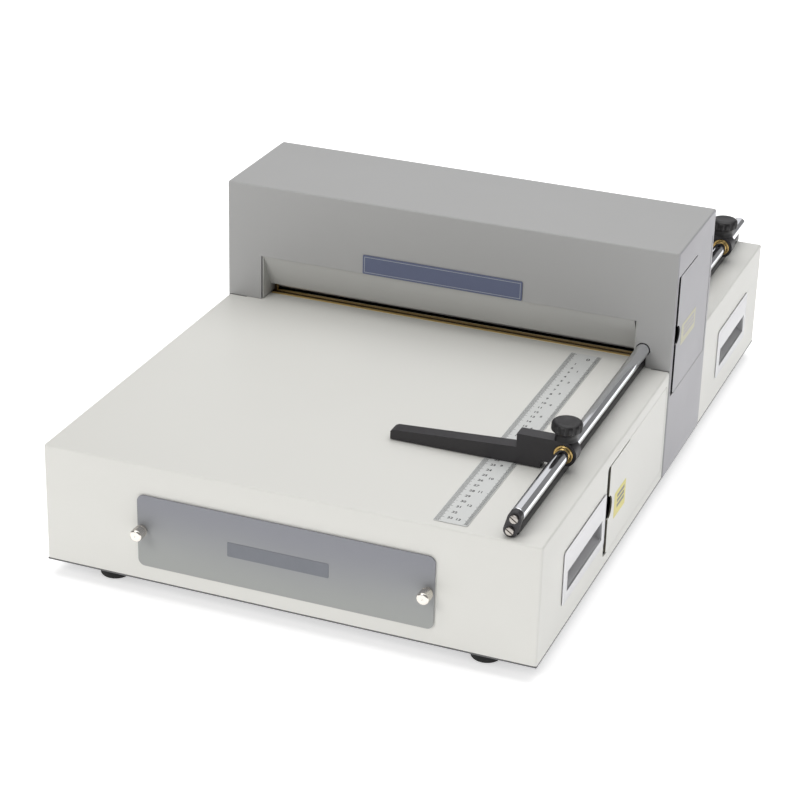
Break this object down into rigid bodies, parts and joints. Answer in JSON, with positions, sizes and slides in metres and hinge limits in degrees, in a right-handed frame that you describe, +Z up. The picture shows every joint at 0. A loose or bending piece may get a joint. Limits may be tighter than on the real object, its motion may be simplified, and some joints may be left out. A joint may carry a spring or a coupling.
{
  "type": "electric creasing machine",
  "caption": "Desk-top electric paper creasing machine: flat feed table with ruler, bridge head with brass dies, and sliding paper stops on a chrome rod.",
  "frame": {"origin": "centre of the machine's footprint on the bench", "axes": "+X to the right of someone feeding paper, +Y towards the back along the paper's path, +Z up"},
  "size_m": [0.434, 0.722, 0.235],
  "materials": {
    "cream_paint": "fine-textured powder coat, satin",
    "grey_paint": "fine-textured powder coat, satin",
    "panel_grey": "flat satin paint",
    "band_blue": "printed polyester film, satin, blank",
    "ruler_silver": "satin anodised plate",
    "cup_silver": "satin",
    "zinc": "zinc-plated sheet",
    "machine_steel": "ground and oiled",
    "chrome_rod": "hard chrome, polished",
    "brass": "machined, bright",
    "nickel": "nickel plated",
    "black_anodised": "black, satin",
    "black_rubber": "matt",
    "motor_paint": "dark paint"
  },
  "bodies": {
    "chassis": {"base_front_cover": "cream_paint", "base_rear_cover": "cream_paint", "head_cover": "grey_paint", "front_guard": "grey_paint", "rear_guard": "grey_paint", "name_band": "band_blue", "front_ruler": "ruler_silver", "handle_front_left": "cup_silver", "handle_front_right": "cup_silver", "handle_rear_left": "cup_silver", "handle_rear_right": "cup_silver", "base_pan": "zinc", "motor_bracket": "zinc", "side_frame_left": "machine_steel", "side_frame_right": "machine_steel", "upper_bridge": "machine_steel", "die_bed": "machine_steel", "return_spring_left": "machine_steel", "return_spring_right": "machine_steel", "base_door_rod": "machine_steel", "head_door_rod": "machine_steel", "guide_rod": "chrome_rod", "guide_post_left": "chrome_rod", "guide_post_right": "chrome_rod", "die_strip_front": "brass", "die_strip_rear": "brass", "shaft_bearing_left": "brass", "shaft_bearing_right": "brass", "rod_end_screw_upper": "nickel", "rod_end_screw_lower": "nickel", "rod_rail": "black_anodised", "rod_end_plate": "black_anodised", "power_inlet": "black_anodised", "foot_front_left": "black_rubber", "foot_front_right": "black_rubber", "foot_rear_left": "black_rubber", "foot_rear_right": "black_rubber", "gear_motor": "motor_paint", "control_box": "motor_paint"},
    "front_stop": {"front_stop_carriage": "black_anodised", "front_stop_bush": "brass"},
    "front_stop_knob": {"front_stop_knob": "black_anodised"},
    "rear_stop": {"rear_stop_carriage": "black_anodised", "rear_stop_bush": "brass"},
    "rear_stop_knob": {"rear_stop_knob": "black_anodised"},
    "tool_drawer": {"tool_panel": "panel_grey", "tool_tray": "zinc"},
    "thumb_screw_left": {"thumb_screw_left": "nickel"},
    "thumb_screw_right": {"thumb_screw_right": "nickel"},
    "press_beam": {"press_beam": "machine_steel", "crease_blade": "machine_steel", "blade_clamp": "zinc"},
    "drive_shaft": {"drive_shaft": "machine_steel", "drive_gear": "machine_steel", "cam_left": "machine_steel", "cam_right": "machine_steel"},
    "motor_pinion": {"motor_pinion": "brass"},
    "base_side_door": {"base_side_door": "cream_paint"},
    "head_side_door": {"head_side_door": "grey_paint"},
    "power_switch": {"power_switch": "black_rubber"}
  },
  "joints": [
    {"name": "shaft_turn", "type": "hinge", "parent": "chassis", "child": "drive_shaft", "pos_m": [0, 0.037, 0.205], "axis": [-1, 0, 0], "range_deg": [0, 180]},
    {"name": "front_stop_slide", "type": "slide", "parent": "chassis", "child": "front_stop", "axis": [0, 1, 0], "range_m": [-0.11, 0.205]},
    {"name": "rear_stop_slide", "type": "slide", "parent": "chassis", "child": "rear_stop", "axis": [0, 1, 0], "range_m": [-0.14, 0.044]},
    {"name": "tool_drawer_slide", "type": "slide", "parent": "chassis", "child": "tool_drawer", "axis": [0, -1, 0], "range_m": [0, 0.17]},
    {"name": "press_slide", "type": "slide", "parent": "chassis", "child": "press_beam", "axis": [0, 0, 1], "range_m": [-0.0065, 0], "stiffness_N_per_m": 100, "springref_m": 0.2, "deforming": ["return_spring_left", "return_spring_right"]},
    {"name": "motor_pinion_turn", "type": "hinge", "parent": "chassis", "child": "motor_pinion", "pos_m": [0, 0.069, 0.197], "axis": [-1, 0, 0], "range_deg": [-316, 0]},
    {"name": "front_knob_turn", "type": "hinge", "parent": "front_stop", "child": "front_stop_knob", "pos_m": [0.19, -0.2125, 0.155], "axis": [0, 0, 1], "range_deg": [0, 270]},
    {"name": "rear_knob_turn", "type": "hinge", "parent": "rear_stop", "child": "rear_stop_knob", "pos_m": [0.19, 0.2925, 0.155], "axis": [0, 0, 1], "range_deg": [0, 270]},
    {"name": "thumb_screw_left_turn", "type": "hinge", "parent": "tool_drawer", "child": "thumb_screw_left", "pos_m": [-0.125, -0.345, 0.064], "axis": [0, 1, 0], "range_deg": [0, 720]},
    {"name": "thumb_screw_right_turn", "type": "hinge", "parent": "tool_drawer", "child": "thumb_screw_right", "pos_m": [0.125, -0.345, 0.064], "axis": [0, 1, 0], "range_deg": [0, 720]},
    {"name": "base_side_door_hinge", "type": "hinge", "parent": "chassis", "child": "base_side_door", "pos_m": [0.2125, 0.0003, 0.068], "axis": [0, 0, 1], "range_deg": [0, 100]},
    {"name": "head_side_door_hinge", "type": "hinge", "parent": "chassis", "child": "head_side_door", "pos_m": [0.2135, 0.1243, 0.153], "axis": [0, 0, 1], "range_deg": [0, 100]},
    {"name": "power_switch_rock", "type": "hinge", "parent": "chassis", "child": "power_switch", "pos_m": [-0.1375, 0.352, 0.067], "axis": [-1, 0, 0], "range_deg": [0, 14]}
  ],
  "couplings": [
    {"joint": "press_slide", "follows": "shaft_turn", "m_per_rad": -0.002069},
    {"joint": "motor_pinion_turn", "follows": "shaft_turn", "ratio": -1.75}
  ]
}
